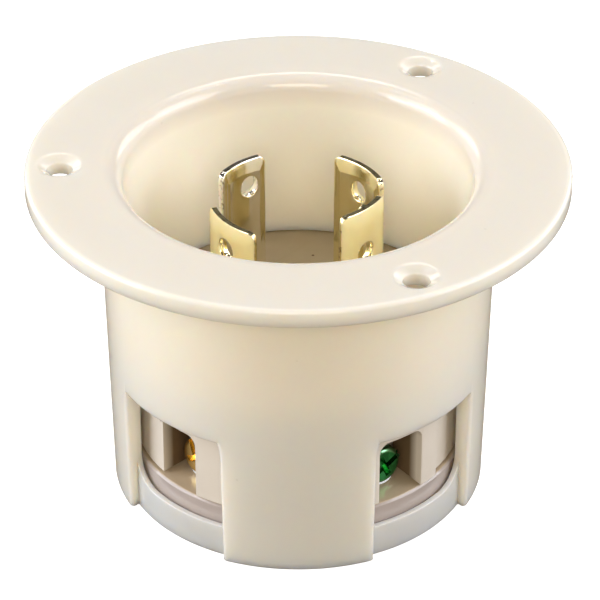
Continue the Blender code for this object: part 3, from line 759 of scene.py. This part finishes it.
# ---- terminals, clamps and screws ----------------------------------------------------------------
# At each pole an angle bracket hangs from the blade, and a large screw pulls a pressure plate on
# to it. The screws are turned with a long slot and a short cross and keep the code's colours.
zinc = metal("zinc plate", (.72, .73, .74), (.50, .50, .48), (.90, .90, .90), .22, .14)
screw_brass = metal("screw brass", (1.0, .80, .36), (.75, .52, .20), (1.0, .86, .48), .12, .10)
green = metal("green plating", (.05, .34, .11), (.02, .12, .04), (.45, .80, .50), .14, .10)
TERMINAL_SCREW_Z, SCREW_HEAD_AT, CLAMP_AT = 11.3, 20.1, 18.8
HEAD_R, HEAD_H, SHANK_R, SHANK_L, PITCH = 3.15, 2.2, 1.95, 6.8, .8
SLOT_HALF, CROSS_REACH, RECESS_DEEP = .475, 1.95, 1.2
RIM_ROUND_R, CROWN, THREAD_DEEP = .75, .22, .32
BRACKET_HALF, PLATE_HALF, PRESSED_SOFT = 3.3, 3.6, .12


def headed_screw(head_r, head_h, shank_r, length, pitch, slot_half, cross_reach, depth, through):
    """Screw about +Z with its origin under the head, as rings of one polar grid. The recess border
    is the reach of two crossed bars in each direction; inside it the height is the recess floor,
    outside it the crowned head. The shank's radius is a triangle wave of height less turn."""
    corner = math.asin(slot_half / head_r)
    special = np.concatenate([q * math.pi / 2 + np.array([0, math.pi / 4]) for q in range(4)])
    tip = math.atan2(cross_reach, slot_half)
    special = np.concatenate((special, [s * tip + k * math.pi for s in (1, -1) for k in (0, 1)]))
    if through:
        special = np.concatenate((special, [s * corner + k * math.pi + e * 2e-4 for s in (1, -1)
                                            for k in (0, 1) for e in (-1, 1)]))
    turn = np.sort(np.unique(np.round(np.mod(np.concatenate(
        (np.linspace(0, 2 * math.pi, 72, endpoint=False) + .021, special)), 2 * math.pi), 6)))
    s, c = np.abs(np.sin(turn)) + 1e-9, np.abs(np.cos(turn)) + 1e-9
    long_reach = head_r * 2 if through else cross_reach
    bar_a = np.minimum(slot_half / s, long_reach / c)
    bar_b = np.minimum(slot_half / c, cross_reach / s)
    open_end = (bar_a >= head_r) if through else np.zeros(len(turn), bool)
    border = np.minimum(np.maximum(bar_a, bar_b), head_r)
    floor = head_h - depth
    rings = [(border * k, np.full(len(turn), floor)) for k in (0, .5, 1.0)]
    flat_edge = head_r - RIM_ROUND_R

    def crown(r):
        return head_h - CROWN * (r / head_r) ** 2

    for k in (0.0, .03, .35, .7, 1.0):
        r = np.where(border < flat_edge, border + (flat_edge - border) * k, border)
        rings.append((r, crown(r) - (.06 if k == 0 else 0)))
    rim = arc((flat_edge, crown(flat_edge) - RIM_ROUND_R), RIM_ROUND_R, 90, 0, 6)[1:]
    rings += [(np.full(len(turn), r), np.full(len(turn), z)) for r, z in rim]
    rings += [(np.full(len(turn), head_r), np.full(len(turn), .1)),
              (np.full(len(turn), head_r - .1), np.zeros(len(turn)))]
    rings = [(r, np.where(open_end, np.minimum(z, floor), z)) for r, z in rings]
    for level in np.linspace(0, -length + .5, int(length / pitch * 6)):
        wave = np.abs(((level / pitch - turn / (2 * math.pi)) % 1.0) * 2 - 1)
        fade = min(1.0, -level / .5, (level + length) / .9)
        rings.append((shank_r - THREAD_DEEP * (1 - wave) * fade, np.full(len(turn), level)))
    rings += [(np.full(len(turn), shank_r - .5), np.full(len(turn), -length)),
              (np.zeros(len(turn)), np.full(len(turn), -length))]
    radius = np.stack([r for r, _ in rings], 1)
    height = np.stack([h for _, h in rings], 1)
    points = np.stack((radius * np.cos(turn)[:, None], radius * np.sin(turn)[:, None], height), -1)
    index = np.arange(radius.size).reshape(radius.shape)
    mask = np.zeros(radius.shape)
    mask[:, 8:14] = .8
    mask[:, 3] = .6
    return points.reshape(-1, 3), mask.ravel(), grid_quads(index)


def stood(points, azimuth, radius, height, spin=0.0, lying=True):
    """Puts local points at a radius, azimuth and height, first spun about their own axis; lying
    turns local z outward along the radius, else it points down."""
    a, s = math.radians(azimuth), math.radians(spin)
    x = points[:, 0] * math.cos(s) - points[:, 1] * math.sin(s)
    y = points[:, 0] * math.sin(s) + points[:, 1] * math.cos(s)
    if lying:
        u, v, w = radius + points[:, 2], y, height - x
    else:
        u, v, w = radius + x, -y, height - points[:, 2]
    return np.column_stack((u * math.cos(a) - v * math.sin(a),
                            u * math.sin(a) + v * math.cos(a), w))


def pressed_strip(side, half, azimuth, offset=0.0):
    """Bent strip: a closed (radius, height) outline carried sideways, closed at both ends."""
    middle = side.mean(0)
    stations = [(v * half, k) for v, k in ((-1, 0), (-1, 1), (-.5, 1), (0, 1), (.5, 1), (1, 1),
                                           (1, 0))]
    grid = np.stack([np.column_stack((middle + (side - middle) * k, np.full(len(side), v)))
                     for v, k in stations], 1)
    grid[..., 0] += offset
    a = math.radians(azimuth)
    points = np.stack((grid[..., 0] * math.cos(a) - grid[..., 2] * math.sin(a),
                       grid[..., 0] * math.sin(a) + grid[..., 2] * math.cos(a), grid[..., 1]), -1)
    index = np.arange(points.shape[0] * points.shape[1]).reshape(points.shape[:2])
    return points.reshape(-1, 3), grid_quads(index)


# Side outlines as radius and height: the bracket's from the axis, the plate's from its own middle.
BRACKET_SIDE = np.concatenate(([(14.3, 16.8), (14.3, 18.3)], arc((16.5, 17.1), 1.2, 90, 0, 5),
                               [(17.7, 9.2), (17.4, 8.9), (16.2, 8.9), (16.2, 16.8)]))
PLATE_SIDE = np.array([(-.7, -2.6), (.7, -2.6), (.7, 2.8), (1.8, 3.4), (1.8, 4.6), (1.3, 4.6),
                       (.1, 3.9), (-.7, 3.9)]) + (0, TERMINAL_SCREW_Z)
SCREW_SPIN = {"line_x": 24.0, "ground": -66.0, "line_y": 24.0, "neutral": 24.0}
head, head_mask, head_quads = headed_screw(HEAD_R, HEAD_H, SHANK_R, SHANK_L, PITCH,
                                           SLOT_HALF, CROSS_REACH, RECESS_DEEP, True)
for pole, (_, _, azimuth, _, _) in POLES.items():
    metal_of_blade = nickel if pole == "neutral" else brass
    points, quads = pressed_strip(BRACKET_SIDE, BRACKET_HALF, azimuth)
    bracket = piece("terminal_bracket_" + pole, points, quads, metal_of_blade)
    soften(bracket, PRESSED_SOFT)
    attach(bracket, "inlet")
    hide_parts("terminal_" + pole)
    points, quads = pressed_strip(PLATE_SIDE, PLATE_HALF, azimuth, CLAMP_AT)
    plate = piece("pressure_plate_" + pole, points, quads, zinc)
    soften(plate, PRESSED_SOFT)
    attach(plate, "clamp_" + pole + "_body")
    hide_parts("clamp_" + pole)
    points = stood(head, azimuth, SCREW_HEAD_AT, TERMINAL_SCREW_Z, SCREW_SPIN[pole])
    finish = {"neutral": nickel, "ground": green}.get(pole, screw_brass)
    screw = piece("terminal_screw_" + pole, points, head_quads, finish, 40, mask=head_mask)
    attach(screw, "screw_" + pole + "_body")
    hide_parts("screw_" + pole)


# ---- rear assembly screws ------------------------------------------------------------------------
# Two long self-tapping screws driven from the back hold cover and carriers in the housing.
REAR_HEAD_R, REAR_HEAD_H, REAR_SHANK_R, REAR_SHANK_L, REAR_PITCH = 3.0, 2.2, 1.4, 16.4, 1.1
REAR_CROSS_HALF, REAR_CROSS_REACH, REAR_CROSS_DEEP = .42, 1.75, .9
REAR_SCREW_AT, REAR_SCREW_Z, REAR_SCREW_SPIN = 23.4, 5.6, 20.0
shape, shape_mask, shape_quads = headed_screw(
    REAR_HEAD_R, REAR_HEAD_H, REAR_SHANK_R, REAR_SHANK_L, REAR_PITCH, REAR_CROSS_HALF,
    REAR_CROSS_REACH, REAR_CROSS_DEEP, False)
for name, azimuth in (("rear_screw_right", 0.0), ("rear_screw_left", 180.0)):
    points = stood(shape, azimuth, REAR_SCREW_AT, REAR_SCREW_Z, REAR_SCREW_SPIN, lying=False)
    screw = piece("assembly_" + name, points, shape_quads, zinc, 40, mask=shape_mask)
    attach(screw, "inlet")
    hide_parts(name)


# ---- stage ---------------------------------------------------------------------------------------
# A plain pale table under the leg ends. The camera sees it white; the object sees its warm tone.
mat, tree, shader = new_finish("pale table")
shader.inputs["Roughness"].default_value = .9
sight = node(tree, "ShaderNodeLightPath")
tone = node(tree, "ShaderNodeMix", data_type="RGBA")
tone.inputs[6].default_value = (.19, .155, .11, 1)
tone.inputs[7].default_value = (.62, .62, .62, 1)
tree.links.new(sight.outputs["Is Camera Ray"], tone.inputs["Factor"])
tree.links.new(tone.outputs[2], shader.inputs["Base Color"])
shader.inputs["Emission Color"].default_value = (1, 1, 1, 1)
lift = node(tree, "ShaderNodeMath", operation="MULTIPLY")
lift.inputs[1].default_value = .8
tree.links.new(sight.outputs["Is Camera Ray"], lift.inputs[0])
tree.links.new(lift.outputs["Value"], shader.inputs["Emission Strength"])
floor_mesh = bpy.data.meshes.new("table")
TABLE_HALF, TABLE_Z = 6, -.00002
corners = [(x * TABLE_HALF, y * TABLE_HALF, TABLE_Z)
           for x, y in ((-1, -1), (1, -1), (1, 1), (-1, 1))]
floor_mesh.from_pydata(corners, [], [(0, 1, 2, 3)])
floor = bpy.data.objects.new("table", floor_mesh)
bpy.context.scene.collection.objects.link(floor)
floor_mesh.materials.append(mat)


def soft_box(name, place, size, power, along, colour):
    """Rectangular area lamp of a size in metres and power in watts. It faces the object's middle,
    and its long side lies as near as it can to the direction given."""
    lamp = bpy.data.lights.new(name, "AREA")
    lamp.shape, lamp.size, lamp.size_y = "RECTANGLE", size[0], size[1]
    lamp.energy, lamp.color = power, colour
    obj = bpy.data.objects.new(name, lamp)
    bpy.context.scene.collection.objects.link(obj)
    back = (Vector(place) - Vector((0, 0, .04))).normalized()
    side = Vector(along)
    side = (side - back * side.dot(back)).normalized()
    turn = Matrix((side, back.cross(side), back)).transposed()
    obj.matrix_world = Matrix.Translation(place) @ turn.to_4x4()


# Large soft boxes carry the light, warm from front and back. Three narrow strips draw the thin
# highlights on the cup's rolled mouth.
WHITE, WARM, SOFT_WARM, COOL = (1, 1, 1), (1, .865, .69), (1, .94, .86), (.95, .95, 1)
for name, place, size, power, along, colour in (
        ("front box", (0, -.75, .44), (.5, .3), 3.0, (1, 0, 0), WARM),
        ("left low box", (-.55, -.06, .17), (.5, .3), 1.9, (0, 1, 0), WHITE),
        ("right low box", (.55, -.06, .17), (.5, .3), 1.0, (0, 1, 0), WHITE),
        ("left box", (-.53, -.06, .38), (.5, .3), 1.75, (0, 1, 0), COOL),
        ("right box", (.53, -.06, .38), (.5, .3), 2.0, (0, 1, 0), COOL),
        ("back left box", (-.50, .42, .30), (.4, .3), 1.2, (1, 1, 0), SOFT_WARM),
        ("back right box", (.50, .42, .30), (.4, .3), 1.2, (1, -1, 0), SOFT_WARM),
        ("back high box", (0, .45, .70), (.3, .2), .8, (1, 0, 0), (1, .94, .84)),
        ("long strip", (.256, .255, .68), (.30, .006), .42, (.21, .25, -.18), WHITE),
        ("short strip", (.40, -.125, .66), (.14, .006), .19, (.2, .25, -.2), WHITE),
        ("left strip", (-.34, .196, .68), (.17, .006), .26, (-.113, .165, -.113), WHITE)):
    soft_box(name, place, size, power, along, colour)

world = bpy.data.worlds.new("studio")
bpy.context.scene.world = world
world.use_nodes = True
tree = world.node_tree
back = tree.nodes["Background"]
where = node(tree, "ShaderNodeTexCoord")
split = node(tree, "ShaderNodeSeparateXYZ")
tree.links.new(where.outputs["Generated"], split.inputs["Vector"])
ramp = node(tree, "ShaderNodeMapRange", From_Min=-.9, From_Max=.5)
tree.links.new(split.outputs["Y"], ramp.inputs["Value"])
room = node(tree, "ShaderNodeMix", data_type="RGBA")
room.inputs[6].default_value = (.04, .03, .02, 1)
room.inputs[7].default_value = (.10, .09, .075, 1)
tree.links.new(ramp.outputs["Result"], room.inputs["Factor"])
sight = node(tree, "ShaderNodeLightPath")
seen = node(tree, "ShaderNodeMix", data_type="RGBA")
seen.inputs[7].default_value = (1, 1, 1, 1)
tree.links.new(sight.outputs["Is Camera Ray"], seen.inputs["Factor"])
tree.links.new(room.outputs[2], seen.inputs[6])
tree.links.new(seen.outputs[2], back.inputs["Color"])

camera = bpy.data.cameras.new("camera")
camera.lens, camera.sensor_width, camera.shift_x = 200.3, 36.0, .0028
view = bpy.data.objects.new("camera", camera)
bpy.context.scene.collection.objects.link(view)
view.location = (0, -.4345, .3080)
view.rotation_euler = (math.radians(90 - 32.6), 0, 0)
bpy.context.scene.camera = view
bpy.context.scene.view_settings.view_transform = "Standard"
